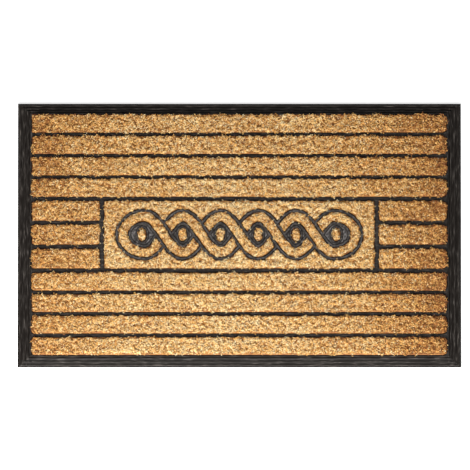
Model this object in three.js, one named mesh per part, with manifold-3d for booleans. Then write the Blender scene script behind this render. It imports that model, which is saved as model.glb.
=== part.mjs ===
// A door mat: a moulded rubber tray whose pockets hold brushes of cut coir.
// Millimetres, +Z up, X along the long side, origin at the middle of the underside.
// The tray is one rubber moulding: ridged border, dividing ribs, braid outlines and underside studs.
// The inserts are eight full strips, three blocks each side of a panel, the panel's ground, and a
// two-strand braid with a boss in each of its loops.

import * as THREE from "three";
import { mergeVertices } from "three/addons/utils/BufferGeometryUtils.js";
import Module from "manifold-3d";

const wasm = await Module();
wasm.setup();

// Plan
const LENGTH = 750;
const DEPTH = 450;
const END_BORDER = 24;
const SIDE_BORDER = 20.2;
const RIB = 6.8;
const PANEL_RIB = 8;
const STRIPS_EACH_SIDE = 4;
const BLOCKS_EACH_END = 3;
const STRIP_DEPTH = 29.8;
const PANEL_LENGTH = 457;
const CORNER = 3;
const RIGHT_END_CORNER = 7;

// Heights above the floor
const SHEET_BOTTOM = 1.5;
const POCKET_FLOOR = 4;
const RIB_TOP = 11.5;
const BRAID_TOP = 14.5;
const EYE_TOP = 13;
const PILE_TOP = 17;
const PILE_HEIGHT = PILE_TOP - POCKET_FLOOR;

// Braid
const LOOPS = 6;
const LOOP_PITCH = 63.9;
const END_REACH = 37;
const SWING = 30.6;
const STRAND_HALF = 7.6;
const OUTLINE = 6.6;
const BOSS_OUTLINE = 5.4;
const BOSS_HALF_LENGTH = 7;
const BOSS_HALF_DEPTH = 11;
const END_BOSS_SHIFT = 4.5;
const STEPS_PER_LOOP = 12;
const CROSSING_REACH = 0.25;
const LAP = 1 / 12;

// Details
const GAP = 0.3;
const OVERLAP = 0.5;
const RIB_BEVEL = 1.2;
const BRAID_BEVEL = 1.8;
const PILE_BEVEL = 1.5;
const BORDER_RIDGES = 3;
const RIDGE_HEIGHT = 1.8;
const RIM_SHARE = 0.45;
const STUD_COLUMNS = 13;
const STUD_ROWS = 7;
const STUD_PITCH = 54;
const STUD_TOP_RADIUS = 6;
const STUD_FOOT_RADIUS = 4.5;
const STUD_SIDES = 6;
const CORNER_STEPS = 3;
const BOSS_STEPS = 8;

const FIELD_LENGTH = LENGTH - 2 * END_BORDER;
const FIELD_DEPTH = DEPTH - 2 * SIDE_BORDER;
const GROUP_DEPTH = STRIPS_EACH_SIDE * STRIP_DEPTH + (STRIPS_EACH_SIDE - 1) * RIB;
const PANEL_DEPTH = FIELD_DEPTH - 2 * (GROUP_DEPTH + PANEL_RIB);
const BLOCK_LENGTH = (FIELD_LENGTH - PANEL_LENGTH) / 2 - PANEL_RIB;
const BLOCK_DEPTH = (PANEL_DEPTH - (BLOCKS_EACH_END - 1) * PANEL_RIB) / BLOCKS_EACH_END;

const rubber = new THREE.MeshStandardMaterial({ color: 0x2c2a29, roughness: 0.75, metalness: 0 });
const coir = new THREE.MeshStandardMaterial({ color: 0xc89a62, roughness: 0.95, metalness: 0 });

// Solids

function solidOf(geometry) {
  const bare = geometry.clone();
  bare.deleteAttribute("normal");
  bare.deleteAttribute("uv");
  const merged = mergeVertices(bare);
  return new wasm.Manifold(
    new wasm.Mesh({
      numProp: 3,
      vertProperties: merged.attributes.position.array,
      triVerts: merged.index.array,
    }),
  );
}

function geometryOf(solid) {
  const mesh = solid.getMesh();
  return new THREE.BufferGeometry()
    .setAttribute("position", new THREE.BufferAttribute(mesh.vertProperties, 3))
    .setIndex(new THREE.BufferAttribute(mesh.triVerts, 1));
}

function joined(solids) {
  return solids.reduce((whole, solid) => whole.add(solid));
}

// A shape raised straight up from one height to another.
function prism(shape, bottom, top, curveSegments = CORNER_STEPS) {
  const options = { depth: top - bottom, bevelEnabled: false, curveSegments };
  return solidOf(new THREE.ExtrudeGeometry(shape, options).translate(0, 0, bottom));
}

// A shape raised between two heights, with both of its edges bevelled inwards.
function bevelledPrism(shape, bottom, top, bevel, curveSegments = CORNER_STEPS) {
  const options = {
    depth: top - bottom - 2 * bevel,
    bevelThickness: bevel,
    bevelSize: bevel,
    bevelOffset: -bevel,
    bevelSegments: 1,
    curveSegments,
  };
  return solidOf(new THREE.ExtrudeGeometry(shape, options).translate(0, 0, bottom + bevel));
}

// What is taken away for a pocket: the shape from the pocket's floor up, with its mouth at the
// height top widened, which bevels the edge of the rubber round it.
function pocket(shape, top, bevel, curveSegments = CORNER_STEPS) {
  const mouth = {
    depth: 1,
    bevelThickness: bevel,
    bevelSize: bevel,
    bevelSegments: 1,
    curveSegments,
  };
  const widened = new THREE.ExtrudeGeometry(shape, mouth).translate(0, 0, top);
  return joined([prism(shape, POCKET_FLOOR, top + 1, curveSegments), solidOf(widened)]);
}

// Outlines

// A rectangle round the origin, with its own corner radius at each end.
function roundedRectangle(length, depth, leftRadius, rightRadius) {
  const quarter = Math.PI / 2;
  const shape = new THREE.Shape();
  const corners = [[1, 1], [-1, 1], [-1, -1], [1, -1]];
  corners.forEach(([right, up], i) => {
    const radius = right > 0 ? rightRadius : leftRadius;
    const [x, y] = [right * (length / 2 - radius), up * (depth / 2 - radius)];
    shape.absarc(x, y, radius, i * quarter, (i + 1) * quarter);
  });
  return shape;
}

function ellipse(x, halfLength, halfDepth) {
  return new THREE.Shape().absellipse(x, 0, halfLength, halfDepth, 0, 2 * Math.PI);
}

// The braid's line. Phase counts loops: it runs to the right from 0 at the left end to LOOPS at the
// right end, and comes back to 2 LOOPS. The two runs cross at every whole phase between the ends.
function braidPoint(phase) {
  const lap = THREE.MathUtils.euclideanModulo(phase, 2 * LOOPS);
  const along = Math.min(lap, 2 * LOOPS - lap);
  const firstLoop = (-(LOOPS - 1) / 2) * LOOP_PITCH;
  const toEnd = Math.min(along, LOOPS - along);
  const side = Math.sign(along - LOOPS / 2);
  const x =
    toEnd < 0.5
      ? side * (END_REACH * Math.cos(Math.PI * toEnd) - firstLoop)
      : firstLoop + (along - 0.5) * LOOP_PITCH;
  return new THREE.Vector2(x, SWING * Math.sin(Math.PI * lap));
}

function braidNormal(phase) {
  const step = 1e-3;
  const tangent = braidPoint(phase + step).sub(braidPoint(phase - step)).normalize();
  return new THREE.Vector2(-tangent.y, tangent.x);
}

// The band within half of the braid's line, between two phases.
function ribbon(from, to, half) {
  const steps = Math.round((to - from) * STEPS_PER_LOOP);
  const edge = (side) =>
    Array.from({ length: steps + 1 }, (_, i) => {
      const phase = from + ((to - from) * i) / steps;
      return braidPoint(phase).addScaledVector(braidNormal(phase), side * half);
    });
  return new THREE.Shape([...edge(-1), ...edge(1).reverse()]);
}

// The inside of one loop, between the crossings at its ends.
function eye(loop) {
  const line = (from) =>
    Array.from({ length: STEPS_PER_LOOP + 1 }, (_, i) => braidPoint(from + i / STEPS_PER_LOOP));
  return new THREE.Shape([...line(loop), ...line(2 * LOOPS - loop - 1)]);
}

const loops = Array.from({ length: LOOPS }, (_, i) => i);
const laps = Array.from({ length: 2 * LOOPS }, (_, i) => i);

// A boss stands in the middle of its loop. The two end loops are longer, so theirs stand further out.
function bossX(loop) {
  const fromMiddle = loop - (LOOPS - 1) / 2;
  const isEnd = loop === 0 || loop === LOOPS - 1;
  return fromMiddle * LOOP_PITCH + (isEnd ? Math.sign(fromMiddle) * END_BOSS_SHIFT : 0);
}

// At each crossing one run passes over. The other stops on each side of it, so the strand is cut
// into pieces, each of which runs from one such stop to the next.
const crossings = loops.slice(1).map((k) => {
  const goesOverOutbound = k % 2 === 1;
  const [outbound, inbound] = [k, 2 * LOOPS - k];
  return goesOverOutbound ? { over: outbound, under: inbound } : { over: inbound, under: outbound };
});
const stops = [...crossings].sort((a, b) => a.under - b.under);
const strandPieces = stops.map((start, i) => {
  const end = stops[(i + 1) % stops.length];
  const wraps = end.under <= start.under;
  return { from: start.under, to: end.under + (wraps ? 2 * LOOPS : 0), cutBy: [start.over, end.over] };
});
const overBand = (over, half) => ribbon(over - CROSSING_REACH, over + CROSSING_REACH, half);

// One such piece, made in three lengths. Only its two end lengths are cut by the run above them.
function strandRun({ from, to, cutBy }, make, cutter) {
  const endLength = 0.5;
  return joined([
    make(from, from + endLength + LAP).subtract(cutter(cutBy[0])),
    make(from + endLength - LAP, to - endLength + LAP),
    make(to - endLength - LAP, to).subtract(cutter(cutBy[1])),
  ]);
}

// Rubber tray

// The border's section as [share of the border's width from the outer edge, height], up the outer
// edge, over the ridges to the inner land, and back along the underside.
function borderProfile() {
  const ridgeStart = 0.05;
  const ridgeEnd = 0.83;
  const ridgeFill = 0.7;
  const ridgeSteps = 4;
  const slope = (share) => THREE.MathUtils.mapLinear(share, ridgeStart, ridgeEnd, 3.4, 8.6);
  const pitch = (ridgeEnd - ridgeStart) / BORDER_RIDGES;
  const points = [
    [0, 0],
    [0, 2.8],
    [0.03, 3.4],
  ];
  for (let ridge = 0; ridge < BORDER_RIDGES; ridge++) {
    for (let step = 0; step <= ridgeSteps; step++) {
      const turn = (Math.PI * step) / ridgeSteps;
      const share = ridgeStart + pitch * (ridge + 0.5 * (1 - ridgeFill * Math.cos(turn)));
      points.push([share, slope(share) + RIDGE_HEIGHT * Math.sin(turn)]);
    }
  }
  points.push([0.86, RIB_TOP - 1], [0.89, RIB_TOP], [1, RIB_TOP]);
  points.push([1, SHEET_BOTTOM], [RIM_SHARE, SHEET_BOTTOM], [RIM_SHARE, 0], [0, 0]);
  return points;
}

// The section turned through four corners, then stretched so that each side has its own width.
function borderFrame() {
  const section = borderProfile().map(
    ([share, height]) => new THREE.Vector2(Math.SQRT2 * (2 - share), height),
  );
  const frame = new THREE.LatheGeometry(section, 4, Math.PI / 4).rotateX(Math.PI / 2);
  const position = frame.attributes.position;
  for (let i = 0; i < position.count; i++) {
    const [x, y] = [position.getX(i), position.getY(i)];
    position.setX(i, Math.sign(x) * (LENGTH / 2 - (2 - Math.abs(x)) * END_BORDER));
    position.setY(i, Math.sign(y) * (DEPTH / 2 - (2 - Math.abs(y)) * SIDE_BORDER));
  }
  return solidOf(frame);
}

function field() {
  const lap = 1;
  const block = new THREE.BoxGeometry(
    FIELD_LENGTH + 2 * lap,
    FIELD_DEPTH + 2 * lap,
    RIB_TOP - SHEET_BOTTOM,
  );
  return solidOf(block.translate(0, 0, (RIB_TOP + SHEET_BOTTOM) / 2));
}

function studs() {
  const height = SHEET_BOTTOM + OVERLAP;
  const stud = new THREE.CylinderGeometry(STUD_TOP_RADIUS, STUD_FOOT_RADIUS, height, STUD_SIDES)
    .rotateX(Math.PI / 2)
    .translate(0, 0, height / 2);
  const made = [];
  for (let column = 0; column < STUD_COLUMNS; column++) {
    for (let row = 0; row < STUD_ROWS; row++) {
      const x = (column - (STUD_COLUMNS - 1) / 2) * STUD_PITCH;
      const y = (row - (STUD_ROWS - 1) / 2) * STUD_PITCH;
      made.push(solidOf(stud.clone().translate(x, y, 0)));
    }
  }
  return wasm.Manifold.union(made);
}

// The rubber that stands in the panel: a raised band along the braid, the floors of its loops, and
// a raised ring for each boss.
function braidRubber() {
  const foot = POCKET_FLOOR - BRAID_BEVEL - OVERLAP;
  const half = STRAND_HALF + OUTLINE;
  const raised = (shape) => bevelledPrism(shape, foot, BRAID_TOP, BRAID_BEVEL, BOSS_STEPS);
  const ring = (x) => ellipse(x, BOSS_HALF_LENGTH + BOSS_OUTLINE, BOSS_HALF_DEPTH + BOSS_OUTLINE);
  return joined([
    ...laps.map((lap) => raised(ribbon(lap - LAP, lap + 1 + LAP, half))),
    ...loops.map((loop) => prism(eye(loop), foot, EYE_TOP)),
    ...loops.map((loop) => raised(ring(bossX(loop)))),
  ]);
}

function strandPocket(run) {
  return strandRun(
    run,
    (from, to) => pocket(ribbon(from, to, STRAND_HALF), BRAID_TOP, BRAID_BEVEL),
    (over) => bevelledPrism(overBand(over, STRAND_HALF + OUTLINE), 0, BRAID_TOP, BRAID_BEVEL),
  );
}

function bossPocket(loop) {
  const outline = ellipse(bossX(loop), BOSS_HALF_LENGTH, BOSS_HALF_DEPTH);
  return pocket(outline, BRAID_TOP, BRAID_BEVEL, BOSS_STEPS);
}

// Where each straight-sided insert goes, its size, and its corners' radius at its right end. The
// inserts that reach the mat's right border are rounder there.
function layout() {
  const places = [];
  const place = (name, x, y, length, depth, rightCorner) =>
    places.push({ name, x, y, length, depth, rightCorner });
  const stripStep = STRIP_DEPTH + RIB;
  const firstStrip = FIELD_DEPTH / 2 - STRIP_DEPTH / 2;
  for (let i = 0; i < 2 * STRIPS_EACH_SIDE; i++) {
    const nearSide = i >= STRIPS_EACH_SIDE;
    const fromEdge = (nearSide ? 2 * STRIPS_EACH_SIDE - 1 - i : i) * stripStep;
    const y = (firstStrip - fromEdge) * (nearSide ? -1 : 1);
    place(`coir_strip_${i + 1}`, 0, y, FIELD_LENGTH, STRIP_DEPTH, RIGHT_END_CORNER);
  }
  const blockX = (FIELD_LENGTH - BLOCK_LENGTH) / 2;
  const ends = [
    ["left", -blockX, CORNER],
    ["right", blockX, RIGHT_END_CORNER],
  ];
  for (const [end, x, rightCorner] of ends) {
    for (let i = 0; i < BLOCKS_EACH_END; i++) {
      const y = ((BLOCKS_EACH_END - 1) / 2 - i) * (BLOCK_DEPTH + PANEL_RIB);
      place(`coir_block_${end}_${i + 1}`, x, y, BLOCK_LENGTH, BLOCK_DEPTH, rightCorner);
    }
  }
  return places;
}

function rubberTray() {
  const ribPocket = (length, depth, rightCorner) =>
    pocket(roundedRectangle(length, depth, CORNER, rightCorner), RIB_TOP, RIB_BEVEL);
  const straight = layout().map(({ x, y, length, depth, rightCorner }) =>
    ribPocket(length, depth, rightCorner).translate(x, y, 0),
  );
  const panel = ribPocket(PANEL_LENGTH, PANEL_DEPTH, CORNER);
  return joined([borderFrame(), field(), studs()])
    .subtract(wasm.Manifold.union([panel, ...straight]))
    .add(braidRubber())
    .subtract(wasm.Manifold.union([...strandPieces.map(strandPocket), ...loops.map(bossPocket)]));
}

// Coir inserts. Each stands on the plane z = 0, which is put on the pockets' floor.

function brush(length, depth, rightCorner) {
  const corners = [CORNER - GAP, rightCorner - GAP];
  const outline = roundedRectangle(length - 2 * GAP, depth - 2 * GAP, ...corners);
  return bevelledPrism(outline, 0, PILE_HEIGHT, PILE_BEVEL);
}

function panelGround() {
  const [below, above] = [-1, PILE_HEIGHT + 1];
  const half = STRAND_HALF + OUTLINE + GAP;
  const figure = joined([
    ...laps.map((lap) => prism(ribbon(lap - LAP, lap + 1 + LAP, half), below, above)),
    ...loops.map((loop) => prism(eye(loop), below, above)),
  ]);
  return brush(PANEL_LENGTH, PANEL_DEPTH, CORNER).subtract(figure);
}

function strandBrush(run) {
  return strandRun(
    run,
    (from, to) => bevelledPrism(ribbon(from, to, STRAND_HALF - GAP), 0, PILE_HEIGHT, PILE_BEVEL),
    (over) => prism(overBand(over, STRAND_HALF + OUTLINE + GAP), -1, PILE_HEIGHT + 1),
  );
}

function bossBrush() {
  const outline = ellipse(0, BOSS_HALF_LENGTH - GAP, BOSS_HALF_DEPTH - GAP);
  return bevelledPrism(outline, 0, PILE_HEIGHT, PILE_BEVEL, BOSS_STEPS);
}

// Assembly

function piece(name, solid, material, x = 0, y = 0) {
  const mesh = new THREE.Mesh(geometryOf(solid), material);
  mesh.name = name;
  mesh.position.set(x, y, 0);
  return mesh;
}

const panel = new THREE.Group();
panel.add(piece("coir_panel_ground", panelGround(), coir));
strandPieces.forEach((run, i) => panel.add(piece(`coir_strand_${i + 1}`, strandBrush(run), coir)));
loops.forEach((loop) => panel.add(piece(`coir_boss_${loop + 1}`, bossBrush(), coir, bossX(loop))));

const inserts = new THREE.Group();
inserts.position.z = POCKET_FLOOR;
for (const { name, x, y, length, depth, rightCorner } of layout()) {
  inserts.add(piece(name, brush(length, depth, rightCorner), coir, x, y));
}
inserts.add(panel);

const mat = new THREE.Group();
mat.add(piece("rubber_tray", rubberTray(), rubber), inserts);

export default mat;
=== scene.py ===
"""Looks of a door mat: brushes of cut coir standing in a moulded rubber tray."""

import math

import bpy
import numpy as np
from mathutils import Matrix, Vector, noise
from mathutils.bvhtree import BVHTree


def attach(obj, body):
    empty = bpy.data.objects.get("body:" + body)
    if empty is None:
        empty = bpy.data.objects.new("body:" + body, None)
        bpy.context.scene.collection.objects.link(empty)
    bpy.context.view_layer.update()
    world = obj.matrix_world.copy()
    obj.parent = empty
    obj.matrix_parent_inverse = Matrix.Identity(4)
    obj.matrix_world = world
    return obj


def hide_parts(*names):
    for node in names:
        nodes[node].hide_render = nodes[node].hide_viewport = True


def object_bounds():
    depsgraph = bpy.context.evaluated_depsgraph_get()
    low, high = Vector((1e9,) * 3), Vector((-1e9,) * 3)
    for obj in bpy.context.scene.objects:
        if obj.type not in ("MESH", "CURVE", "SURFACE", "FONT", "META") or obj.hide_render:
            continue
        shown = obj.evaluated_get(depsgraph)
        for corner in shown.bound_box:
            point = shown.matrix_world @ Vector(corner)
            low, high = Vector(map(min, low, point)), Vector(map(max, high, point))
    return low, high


MM = 0.001
UP = np.array([0.0, 0.0, 1.0])
FIRST_SEED = 100

# Camera, floor and light, in metres and degrees
VIEW_WIDTH = 795.2 * MM
CAMERA_OFF_CENTRE = -7.3 * MM
CAMERA_DISTANCE = 30.0
CAMERA_ELEVATION = 82.2
WORLD_STRENGTH = 0.6
KEY_PLACE = (-0.4, -2.05, 1.65)
KEY_SIZE = 0.4
KEY_POWER = 184
FLOOR_SIZE = 12
FLOOR_GREY = 0.93
FLOOR_GLOW = 0.4

# Fibres of the tread
AREA_PER_FIBRE = 1.55 * MM * MM
FIBRE_REACH = (1.5 * MM, 6.2 * MM)
FIBRE_RISE = (1.0 * MM, 5.5 * MM)
FIBRE_CURL = 1.6 * MM
ROOT_DEPTH = (3.8 * MM, 5.4 * MM)
LEAN_AT_ROOT = 0.35
LEAN_POWER = 1.7
RISE_POWER = 1.9
SWIRL_SPREAD = 0.75

# How far the fibres of the tread may lean out over the rubber
FRONT_INSET = 0.75 * MM
FRONT_OVERHANG = 0.1 * MM
BACK_OVERHANG = 2.8 * MM
PANEL_OVERHANG_SHARE = 0.4
STRAY_OVERHANG = 5.0 * MM
STRAY_SHARE = 0.05
END_STRAY_SHARE = 0.45
END_STRAY_POWER = 12

# Fibres of a brush's sides. Those are the faces whose unit normals rise by less than SIDE_SLOPE.
SIDE_SLOPE = 0.3
SIDE_AREA_PER_FIBRE = 9.0 * MM * MM
SIDE_ROOTS = (0.35, 0.62)
SIDE_RISE = (4.0 * MM, 6.5 * MM)
SIDE_LEAN = 0.8 * MM
SIDE_LEAN_SHARE = (-0.2, 1)
SIDE_LEAN_POWER = 1.5
SIDE_DRIFT = 2.2 * MM

# One fibre's tube: its stations from root to tip, and its share of the radius at all but the tip
STATIONS = np.array([0.0, 0.5, 1.0])
TAPER = np.array([0.85, 0.95])
TUBE_SIDES = 3
FIBRE_RADIUS = 0.42 * MM
RADIUS_SHARE = (0.65, 1.3)

# Patterns over the mat: the size of their spots, and the plane of the noise that each is read from
SWIRL_SIZE, SWIRL_PLANE = 13 * MM, 3.7
DIP_SIZE, DIP_PLANE = 7 * MM, 6.4
TUFT_SIZE, TUFT_PLANE = 3.6 * MM, 5.2
PATCH_SIZE, PATCH_PLANE = 60 * MM, 8.1
LUMP_SIZE, LUMP_PLANE = 4 * MM, 1.3
RAG_SIZE, RAG_PLANES = 9 * MM, (0.0, 40.0)
DIP = 1.3 * MM
RAG = 3.0 * MM

# A fibre's shade, from 0 for brown to 1 for pale straw, and what changes it. The changes by place on the
# mat are painted light and shade. The front left is as much paler as the front right is browner.
UV_LAYER = "OFBake"
LEAST_SHADE, MOST_SHADE = 0.02, 0.98
SHADE = 0.72
SHADE_BAND = 0.004
SHADE_SPREAD = 0.235
SHADE_OF_TUFTS = 0.36
SHADE_OF_PATCHES = 0.12
PAINTED_LIGHT_AT_FRONT = 0.02
PAINTED_SHADE_AT_BACK = -0.05
PAINTED_SHADE_AT_ENDS = -0.38
PAINTED_SHADE_AT_RIGHT_END = -0.12
PAINTED_SHADE_AT_FRONT_RIGHT = -0.08
SHADE_OF_GROUND = 0.07
# Painted shade on the fibres of the brushes' sides
PAINTED_SHADE_OF_SIDES = -0.42

# The imported core of a brush, coloured as painted shade: dark brown, and darker in its hollows
CORE_SINK = 5.0 * MM
CORE_VOXEL = 2.8 * MM
CORE_LUMP = 0.7 * MM
CORE_IN_PAINTED_ROOT_SHADE = 0.08
CORE_PAINTED_SHADE = 0.35
CORE_PAINTED_HOLLOW_SHADE = 0.2

# Rubber, with angles in degrees. Each pair is where dust and wear start to change and where they have
# changed:
# with how far a face's unit normal rises, and with the height above the floor. Faces that slope stay black
# as painted shade.
RUBBER_EDGE = 0.45 * MM
RUBBER_EDGE_ANGLE = 25
MERGE_ANGLE = 0.5
DUST_AND_SLOPE_SHADE_NORMAL = (0.9, 0.97)
LOOP_FLOOR = (11.3 * MM, 13.0 * MM)
OUTLINE_TOP = (13.3 * MM, 14.3 * MM)

# A mix node's two inputs and its output, by what it mixes. Its factor is its first input.
MIX_FACTOR = 0
MIX_SOCKETS = {"FLOAT": ((2, 3), 0), "RGBA": ((6, 7), 2)}

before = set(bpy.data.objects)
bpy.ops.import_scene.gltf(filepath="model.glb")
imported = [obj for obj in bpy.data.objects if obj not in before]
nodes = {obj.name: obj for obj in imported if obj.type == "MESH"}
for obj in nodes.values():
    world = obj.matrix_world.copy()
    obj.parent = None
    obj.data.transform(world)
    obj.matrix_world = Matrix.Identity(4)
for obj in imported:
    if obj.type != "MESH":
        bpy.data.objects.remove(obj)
cad_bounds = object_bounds()
low, high = (Vector(corner) for corner in cad_bounds)
middle = (low + high) / 2
length, depth = high.x - low.x, high.y - low.y


# Camera, floor and light

def make_camera():
    elevation = math.radians(CAMERA_ELEVATION)
    data = bpy.data.cameras.new("camera")
    data.sensor_width = 36
    data.lens = data.sensor_width * CAMERA_DISTANCE / VIEW_WIDTH
    camera = bpy.data.objects.new("camera", data)
    aim_at = middle + Vector((CAMERA_OFF_CENTRE, 0, 0))
    away = Vector((0, -math.cos(elevation), math.sin(elevation)))
    camera.location = aim_at + CAMERA_DISTANCE * away
    camera.rotation_euler = (math.pi / 2 - elevation, 0, 0)
    bpy.context.collection.objects.link(camera)
    bpy.context.scene.camera = camera


def make_world():
    world = bpy.data.worlds.new("studio")
    world.use_nodes = True
    background = world.node_tree.nodes["Background"]
    background.inputs["Color"].default_value = (1, 1, 1, 1)
    background.inputs["Strength"].default_value = WORLD_STRENGTH
    bpy.context.scene.world = world


def make_key_light():
    """A bright disk in front of the mat and above it, turned towards the origin."""
    data = bpy.data.lights.new("key", "AREA")
    data.shape = "DISK"
    data.size = KEY_SIZE
    data.energy = KEY_POWER
    light = bpy.data.objects.new("key", data)
    light.location = KEY_PLACE
    light.rotation_euler = (-Vector(KEY_PLACE)).to_track_quat("-Z", "Y").to_euler()
    bpy.context.collection.objects.link(light)


def make_floor():
    bpy.ops.mesh.primitive_plane_add(size=FLOOR_SIZE, location=(0, 0, low.z))
    floor = bpy.context.object
    floor.name = "floor"
    material, shader, _ = new_material("floor")
    shader.inputs["Base Color"].default_value = (FLOOR_GREY, FLOOR_GREY, FLOOR_GREY, 1)
    shader.inputs["Roughness"].default_value = 0.9
    shader.inputs["Emission Color"].default_value = (1, 1, 1, 1)
    shader.inputs["Emission Strength"].default_value = FLOOR_GLOW
    floor.data.materials.append(material)


def set_colour_management():
    settings = bpy.context.scene.view_settings
    settings.view_transform = "Standard"
    settings.look = "None"
    settings.exposure = 0
    settings.gamma = 1


# Shader nodes

def new_material(name):
    material = bpy.data.materials.new(name)
    material.use_nodes = True
    tree = material.node_tree
    return material, tree.nodes["Principled BSDF"], tree


def add_node(tree, kind, **settings):
    node = tree.nodes.new(kind)
    for key, value in settings.items():
        if key in node.inputs:
            node.inputs[key].default_value = value
        else:
            setattr(node, key, value)
    return node


def feed(tree, socket, source):
    """Gives a socket a number, or another node's output."""
    if isinstance(source, (int, float)):
        socket.default_value = source
    else:
        tree.links.new(source, socket)


def add_ramp(tree, source, stops):
    ramp = tree.nodes.new("ShaderNodeValToRGB")
    elements = ramp.color_ramp.elements
    while len(elements) < len(stops):
        elements.new(0.5)
    for element, (position, colour) in zip(elements, stops):
        element.position = position
        element.color = (*colour, 1)
    tree.links.new(source, ramp.inputs["Fac"])
    return ramp.outputs["Color"]


def add_range(tree, source, first, last, start=0.0, end=1.0):
    """Goes from first to last as the source goes from start to end."""
    ramp = add_node(tree, "ShaderNodeMapRange")
    feed(tree, ramp.inputs["Value"], source)
    for name, value in (("From Min", start), ("From Max", end), ("To Min", first), ("To Max", last)):
        feed(tree, ramp.inputs[name], value)
    return ramp.outputs["Result"]


def add_mix(tree, kind, factor, first, second, **settings):
    inputs, output = MIX_SOCKETS[kind]
    mix = add_node(tree, "ShaderNodeMix", data_type=kind, **settings)
    feed(tree, mix.inputs[MIX_FACTOR], factor)
    for number, source in zip(inputs, (first, second)):
        feed(tree, mix.inputs[number], source)
    return mix.outputs[output]


def add_math(tree, operation, *sources):
    step = add_node(tree, "ShaderNodeMath", operation=operation)
    for number, source in enumerate(sources):
        feed(tree, step.inputs[number], source)
    return step.outputs["Value"]


def add_part(tree, vector, axis):
    """One of a vector's three numbers."""
    parts = add_node(tree, "ShaderNodeSeparateXYZ")
    tree.links.new(vector, parts.inputs["Vector"])
    return parts.outputs[axis]


def add_noise(tree, vector, per_unit, detail, roughness):
    """Noise with that many spots to a unit of the vector along each axis."""
    mapping = add_node(tree, "ShaderNodeMapping", Scale=per_unit)
    tree.links.new(vector, mapping.inputs["Vector"])
    texture = add_node(tree, "ShaderNodeTexNoise", Scale=1.0, Detail=detail, Roughness=roughness)
    tree.links.new(mapping.outputs["Vector"], texture.inputs["Vector"])
    return texture.outputs["Fac"]


def add_bump(tree, shader, height, distance, strength):
    bump = add_node(tree, "ShaderNodeBump", Strength=strength, Distance=distance)
    tree.links.new(height, bump.inputs["Height"])
    tree.links.new(bump.outputs["Normal"], shader.inputs["Normal"])


# Materials

def coir_material():
    """Across the layer runs each fibre's own shade, from brown to straw. Along it runs the fibre, with
    painted shade towards its root.
    """
    material, shader, tree = new_material("coir")
    layer = add_node(tree, "ShaderNodeUVMap", uv_map=UV_LAYER).outputs["UV"]
    shade = add_ramp(tree, add_part(tree, layer, "Y"), [
        (0.0, (0.15, 0.040, 0.010)),
        (0.25, (0.42, 0.162, 0.042)),
        (0.5, (0.78, 0.402, 0.102)),
        (0.75, (0.97, 0.64, 0.225)),
        (1.0, (1.0, 0.89, 0.56)),
    ])
    # Painted shade: along each fibre its colour darkens towards the root, where the pile shades it.
    along = add_ramp(tree, add_part(tree, layer, "X"), [
        (0.0, (0.34, 0.28, 0.24)),
        (0.45, (0.86, 0.83, 0.80)),
        (1.0, (1.0, 1.0, 1.0)),
    ])
    colour = add_mix(tree, "RGBA", 1.0, shade, along, blend_type="MULTIPLY")
    tree.links.new(colour, shader.inputs["Base Color"])
    grain = add_noise(tree, layer, (9, 900, 1), detail=2.0, roughness=0.5)
    tree.links.new(add_range(tree, grain, 0.5, 0.85), shader.inputs["Roughness"])
    add_bump(tree, shader, grain, 0.1 * MM, 0.4)
    shader.inputs["Specular IOR Level"].default_value = 0.35
    return material


def rubber_material():
    """Warm black moulded rubber with fine streaks, grey with dust where it is flat and worn, and black on
    its slopes as painted shade.
    """
    material, shader, tree = new_material("rubber")
    position = add_node(tree, "ShaderNodeTexCoord").outputs["Object"]
    cloud = add_noise(tree, position, (260, 260, 260), detail=4.0, roughness=0.7)
    streak = streaks(tree, position)
    black = add_ramp(tree, streak, [
        (0.42, (0.0035, 0.002, 0.001)),
        (0.5, (0.007, 0.005, 0.0035)),
        (0.58, (0.014, 0.0115, 0.0095)),
        (0.7, (0.055, 0.047, 0.041)),
    ])
    dusty = add_ramp(tree, cloud, [
        (0.38, (0.010, 0.009, 0.009)),
        (0.5, (0.044, 0.040, 0.038)),
        (0.62, (0.12, 0.11, 0.106)),
    ])
    colour = add_mix(tree, "RGBA", dust_and_slope_shade(tree, position), black, dusty)
    tree.links.new(colour, shader.inputs["Base Color"])
    tree.links.new(add_range(tree, cloud, 0.45, 0.75), shader.inputs["Roughness"])
    add_bump(tree, shader, streak, 0.25 * MM, 0.8)
    shader.inputs["Specular IOR Level"].default_value = 0.15
    return material


def streaks(tree, position):
    """Noise drawn out along X, and along Y on the borders at the mat's two ends."""
    strip_end = nodes["coir_strip_1"].dimensions.x / 2
    away = add_math(tree, "ABSOLUTE", add_part(tree, position, "X"))
    at_end = add_math(tree, "GREATER_THAN", away, strip_end)
    along_x, along_y = (
        add_noise(tree, position, per_metre, detail=3.0, roughness=0.6)
        for per_metre in ((55, 440, 440), (440, 55, 440))
    )
    return add_mix(tree, "FLOAT", at_end, along_x, along_y)


def dust_and_slope_shade(tree, position):
    """1 on the floors of the braid's loops, half on its outlines' tops, and little elsewhere. Sloping
    faces get 0, which paints shade on them.
    """
    normal = add_node(tree, "ShaderNodeNewGeometry").outputs["True Normal"]
    # Painted shade: sloping faces stay black beside the coir, and only flats take the grey of dust.
    flat = add_range(tree, add_part(tree, normal, "Z"), 0.0, 1.0, *DUST_AND_SLOPE_SHADE_NORMAL)
    height = add_part(tree, position, "Z")
    on_floor = add_range(tree, height, 0.0, 1.0, *LOOP_FLOOR)
    below_top = add_range(tree, height, 1.0, 0.5, *OUTLINE_TOP)
    return add_math(tree, "MULTIPLY", add_math(tree, "MULTIPLY", flat, on_floor), below_top)


# Coir pile

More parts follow.
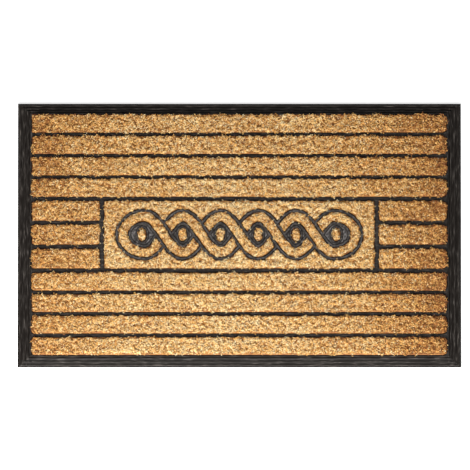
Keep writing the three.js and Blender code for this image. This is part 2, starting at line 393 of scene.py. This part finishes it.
def triangles(node):
    """The corners, unit normals and areas of the node's triangles."""
    mesh = node.data
    mesh.calc_loop_triangles()
    points = np.empty(len(mesh.vertices) * 3)
    mesh.vertices.foreach_get("co", points)
    index = np.empty(len(mesh.loop_triangles) * 3, dtype=np.int32)
    mesh.loop_triangles.foreach_get("vertices", index)
    corners = points.reshape(-1, 3)[index.reshape(-1, 3)]
    normal = np.cross(corners[:, 1] - corners[:, 0], corners[:, 2] - corners[:, 0])
    doubled = np.linalg.norm(normal, axis=1, keepdims=True)
    above_zero = 1e-12
    return corners, normal / np.maximum(doubled, above_zero), doubled[:, 0] / 2


def scatter(corners, weights, count, rng):
    """Points spread evenly over triangles, and the triangle that each is on."""
    chosen = rng.choice(len(weights), size=count, p=weights / weights.sum())
    a, b = rng.random((2, count, 1))
    fold = a + b > 1
    a, b = np.where(fold, 1 - a, a), np.where(fold, 1 - b, b)
    first, second, third = (corners[chosen, k] for k in range(3))
    return first + a * (second - first) + b * (third - first), chosen


def noise_at(points, size, plane):
    return np.array([noise.noise(Vector((x / size, y / size, plane))) for x, y, _ in points])


def rag_of(roots, seed):
    """How far each fibre is shifted in plan, which frays a brush's edges in its own way."""
    shifts = [noise_at(roots, RAG_SIZE, seed + plane) * RAG for plane in RAG_PLANES]
    return np.stack([*shifts, np.zeros(len(roots))], axis=1)


def inside_plan(tree, points):
    above, down = 1.0, Vector((0, 0, -1))
    return np.array([tree.ray_cast(Vector((x, y, above)), down)[0] is not None for x, y in points])


def aim(roots, reach, tree, rng, overhang_share):
    """Each fibre's direction and reach in plan. One that would lean too far out is turned or shortened."""
    count = len(roots)
    swirl = noise_at(roots, SWIRL_SIZE, SWIRL_PLANE) * 2 * math.pi
    angle = swirl + rng.normal(0, SWIRL_SPREAD, count)
    end = np.abs((roots[:, 0] - middle.x) / (length / 2)) ** END_STRAY_POWER
    stray = rng.random(count) < STRAY_SHARE + END_STRAY_SHARE * end
    towards_back = (roots[:, 1] - low.y) / depth
    overhang = FRONT_OVERHANG + towards_back * (BACK_OVERHANG - FRONT_OVERHANG)
    overhang = overhang * overhang_share
    spare = np.where(stray, STRAY_OVERHANG, overhang)
    held = np.maximum(reach - spare, 0)[:, None]
    settled = np.zeros(count, dtype=bool)
    for turn in (0.0, math.pi, math.pi / 2, -math.pi / 2):
        test = angle + turn
        tips = roots[:, :2] + held * np.stack([np.cos(test), np.sin(test)], axis=1)
        change = inside_plan(tree, tips) & ~settled
        angle = np.where(change, test, angle)
        settled |= change
    return angle, np.where(settled, reach, np.minimum(reach, overhang))


def column(values):
    """One number per fibre, shaped to multiply fibre by station by coordinate."""
    return np.asarray(values)[:, None, None]


def in_rows(node):
    return node.name.startswith(("coir_strip", "coir_block"))


def draw_in(roots, corners):
    """Moves roots towards the long middle line of their row, most at the mat's front."""
    front, back = corners[..., 1].min(), corners[..., 1].max()
    from_middle = (2 * roots[:, 1] - front - back) / (back - front)
    towards_front = (high.y - roots[:, 1]) / depth
    roots[:, 1] -= from_middle * FRONT_INSET * towards_front ** 2


def top_paths(node, rng, seed):
    """The fibres of the tread: rising from the core and bending over in swirls."""
    corners, normals, areas = triangles(node)
    up = normals[:, 2] > SIDE_SLOPE
    plan = areas[up] * normals[up, 2]
    count = int(plan.sum() / AREA_PER_FIBRE)
    roots, _ = scatter(corners[up], plan, count, rng)
    tree = BVHTree.FromPolygons(
        [v.co for v in node.data.vertices], [p.vertices for p in node.data.polygons])
    if in_rows(node):
        draw_in(roots, corners)
    reach = rng.uniform(*FIBRE_REACH, count)
    rise = rng.uniform(*FIBRE_RISE, count)
    curl = rng.normal(0, FIBRE_CURL, count)
    angle, reach = aim(roots, reach, tree, rng, 1.0 if in_rows(node) else PANEL_OVERHANG_SHARE)
    along = np.stack([np.cos(angle), np.sin(angle), np.zeros(count)], axis=1)
    across = np.cross(UP, along)
    sunk = rng.uniform(*ROOT_DEPTH, count) + noise_at(roots, DIP_SIZE, DIP_PLANE) * DIP
    t = STATIONS[None, :, None]
    lean = column(reach) * (LEAN_AT_ROOT * t + (1 - LEAN_AT_ROOT) * t ** LEAN_POWER)
    lift = column(rise) * (1 - (1 - t) ** RISE_POWER) - column(sunk)
    bend = column(curl) * np.sin(math.pi * t)
    path = roots[:, None] + lean * along[:, None] + bend * across[:, None] + lift * UP
    return path + rag_of(roots, seed)[:, None], across


def side_paths(node, rng, seed):
    """The fibres of the brush's sides, which stand nearly upright."""
    corners, normals, areas = triangles(node)
    side = np.abs(normals[:, 2]) < SIDE_SLOPE
    count = int(areas[side].sum() / SIDE_AREA_PER_FIBRE)
    roots, chosen = scatter(corners[side], areas[side], count, rng)
    if in_rows(node):
        draw_in(roots, corners)
    outward = normals[side][chosen] * [1, 1, 0]
    across = np.cross(UP, outward)
    bottom, top = corners[..., 2].min(), corners[..., 2].max()
    roots[:, 2] = bottom + (top - bottom) * rng.uniform(*SIDE_ROOTS, count)
    lean = column(rng.uniform(*SIDE_LEAN_SHARE, count)) * SIDE_LEAN
    drift = column(rng.normal(0, SIDE_DRIFT, count))
    rise = column(rng.uniform(*SIDE_RISE, count))
    t = STATIONS[None, :, None]
    bent = t ** SIDE_LEAN_POWER
    path = roots[:, None] + (lean * bent - FIBRE_RADIUS) * outward[:, None]
    path += rag_of(roots, seed)[:, None] * bent
    return path + drift * t * across[:, None] + rise * t * UP, across


def shade_of(roots, rng):
    """Darker and browner at the mat's two ends and its back, paler towards the front: painted shade and
    light. Also patchy from tuft to tuft.
    """
    patches = noise_at(roots, PATCH_SIZE, PATCH_PLANE) * SHADE_OF_PATCHES
    tufts = noise_at(roots, TUFT_SIZE, TUFT_PLANE) * SHADE_OF_TUFTS
    side = (roots[:, 0] - middle.x) / (length / 2)
    front = (middle.y - roots[:, 1]) / (depth / 2)
    # Painted light and shade: the falloff of light across the mat, as a change of shade by place.
    place = SHADE + PAINTED_LIGHT_AT_FRONT * front + PAINTED_SHADE_AT_BACK * np.maximum(-front, 0) ** 2
    place += PAINTED_SHADE_AT_ENDS * np.abs(side) ** 3 + PAINTED_SHADE_AT_RIGHT_END * np.maximum(side, 0) ** 3
    place += PAINTED_SHADE_AT_FRONT_RIGHT * side * np.maximum(front, 0)
    own = rng.normal(0, SHADE_SPREAD, len(roots))
    return np.clip(place + patches + tufts + own, LEAST_SHADE, MOST_SHADE)


def fibre_faces():
    """A root cap, bands of quads and a pointed tip, as corner indices and corners per face."""
    rings = np.arange(len(TAPER) * TUBE_SIDES).reshape(-1, TUBE_SIDES).tolist()
    tip = len(TAPER) * TUBE_SIDES
    turns = [(i, (i + 1) % TUBE_SIDES) for i in range(TUBE_SIDES)]
    faces = [rings[0][::-1]]
    for lower, upper in zip(rings, rings[1:]):
        faces += [[lower[i], lower[j], upper[j], upper[i]] for i, j in turns]
    faces += [[rings[-1][i], rings[-1][j], tip] for i, j in turns]
    return np.concatenate(faces), np.array([len(face) for face in faces])


def fibre_tubes(path, across, rng, lift):
    """Vertices, corner indices, face sizes and texture places of tapered fibres along paths."""
    count = len(path)
    tangent = np.gradient(path, axis=1)
    tangent /= np.linalg.norm(tangent, axis=2, keepdims=True)
    across = across[:, None] - tangent * (tangent * across[:, None]).sum(axis=2, keepdims=True)
    across /= np.linalg.norm(across, axis=2, keepdims=True)
    normal = np.cross(tangent, across)
    radius = FIBRE_RADIUS * rng.uniform(*RADIUS_SHARE, count)[:, None] * TAPER
    spin = rng.uniform(0, 2 * math.pi, (count, 1, 1))
    rings = []
    for side in range(TUBE_SIDES):
        turn = spin + 2 * math.pi * side / TUBE_SIDES
        offset = np.cos(turn) * across[:, :-1] + np.sin(turn) * normal[:, :-1]
        rings.append(path[:, :-1] + radius[..., None] * offset)
    rings = np.stack(rings, axis=2).reshape(count, -1, 3)
    points = np.concatenate([rings, path[:, -1:]], axis=1)
    corners, sizes = fibre_faces()
    per_fibre = points.shape[1]
    index = (np.arange(count)[:, None] * per_fibre + corners).ravel()
    # U runs from root to tip; the material paints shade on the fibre near its root.
    u = np.repeat(STATIONS, TUBE_SIDES)[:per_fibre]
    v = np.append(np.tile([-1, 0, 1], len(TAPER)), 0) * SHADE_BAND
    # The lift shifts the shade of a whole set of fibres; for the sides it is painted shade.
    shade = np.maximum(shade_of(path[:, 0], rng) + lift, LEAST_SHADE)
    place = np.stack(np.broadcast_arrays(u[None], shade[:, None] + v[None]), axis=2)
    return points.reshape(-1, 3), index, np.tile(sizes, count), place.reshape(-1, 2)


def voxel_copy(node):
    """The node's solid as an even mesh of small quads."""
    mesh = node.data.copy()
    body = bpy.data.objects.new("core", mesh)
    bpy.context.collection.objects.link(body)
    remesh = body.modifiers.new("remesh", "REMESH")
    remesh.mode = "VOXEL"
    remesh.voxel_size = CORE_VOXEL
    depsgraph = bpy.context.evaluated_depsgraph_get()
    done = bpy.data.meshes.new_from_object(body.evaluated_get(depsgraph))
    bpy.data.objects.remove(body)
    bpy.data.meshes.remove(mesh)
    return done


def grow_core(node):
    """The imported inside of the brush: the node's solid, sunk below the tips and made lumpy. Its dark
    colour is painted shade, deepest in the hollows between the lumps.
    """
    mesh = voxel_copy(node)
    points = np.empty(len(mesh.vertices) * 3)
    mesh.vertices.foreach_get("co", points)
    points = points.reshape(-1, 3)
    bottom, top = points[:, 2].min(), points[:, 2].max()
    height = (points[:, 2] - bottom) / (top - bottom)
    lumps = noise_at(points, LUMP_SIZE, LUMP_PLANE) * CORE_LUMP
    points[:, 2] -= CORE_SINK * height ** 2
    points[:, 2] += lumps * height
    index = np.empty(len(mesh.loops), dtype=np.int32)
    mesh.loops.foreach_get("vertex_index", index)
    sizes = np.empty(len(mesh.polygons), dtype=np.int32)
    mesh.polygons.foreach_get("loop_total", sizes)
    bpy.data.meshes.remove(mesh)
    # Painted shade: the core takes the dark root end of the fibres' colour, darker where its lumps dip.
    along = np.full(len(points), CORE_IN_PAINTED_ROOT_SHADE)
    shade = CORE_PAINTED_SHADE + lumps / CORE_LUMP * CORE_PAINTED_HOLLOW_SHADE
    return points, index, sizes, np.stack([along, shade], axis=1)


def mesh_from(name, parts):
    """One mesh from several sets of points, corner indices, face sizes and texture places."""
    points, index, sizes, place = zip(*parts)
    offsets = np.cumsum([0] + [len(part) for part in points])
    index = np.concatenate([part + offset for part, offset in zip(index, offsets)])
    points, sizes, place = (np.concatenate(part) for part in (points, sizes, place))
    mesh = bpy.data.meshes.new(name)
    mesh.vertices.add(len(points))
    mesh.vertices.foreach_set("co", points.ravel().astype(np.float32))
    mesh.loops.add(len(index))
    mesh.loops.foreach_set("vertex_index", index.astype(np.int32))
    mesh.polygons.add(len(sizes))
    mesh.polygons.foreach_set("loop_start", (np.cumsum(sizes) - sizes).astype(np.int32))
    mesh.polygons.foreach_set("use_smooth", np.ones(len(sizes), dtype=bool))
    layer = mesh.uv_layers.new(name=UV_LAYER)
    layer.data.foreach_set("uv", place[index].ravel().astype(np.float32))
    mesh.update(calc_edges=True)
    mesh.validate()
    return mesh


def make_brush(name, material, seed):
    rng = np.random.default_rng(seed)
    node = nodes[name]
    tread_lift = SHADE_OF_GROUND if name == "coir_panel_ground" else 0.0
    tread = fibre_tubes(*top_paths(node, rng, seed), rng, tread_lift)
    # Painted shade: the sides' fibres are made browner, as if shaded low in the pile.
    sides = fibre_tubes(*side_paths(node, rng, seed), rng, PAINTED_SHADE_OF_SIDES)
    mesh = mesh_from(name + "_pile", [grow_core(node), tread, sides])
    mesh.materials.append(material)
    brush = bpy.data.objects.new(name + "_pile", mesh)
    bpy.context.collection.objects.link(brush)
    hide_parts(name)
    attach(brush, "root")


# Rubber tray

def finish_tray(material):
    """The tray keeps its CAD shape, with its edges rounded."""
    tray = nodes["rubber_tray"]
    tray.data.materials.clear()
    tray.data.materials.append(material)
    merge = tray.modifiers.new("merge_flats", "DECIMATE")
    merge.decimate_type = "DISSOLVE"
    merge.angle_limit = math.radians(MERGE_ANGLE)
    rounding = tray.modifiers.new("round_edges", "BEVEL")
    rounding.width = RUBBER_EDGE
    rounding.segments = 2
    rounding.limit_method = "ANGLE"
    rounding.angle_limit = math.radians(RUBBER_EDGE_ANGLE)
    rounding.harden_normals = False


set_colour_management()
make_camera()
make_world()
make_key_light()
make_floor()
finish_tray(rubber_material())
coir = coir_material()
for number, name in enumerate(sorted(n for n in nodes if n.startswith("coir_"))):
    make_brush(name, coir, FIRST_SEED + number)
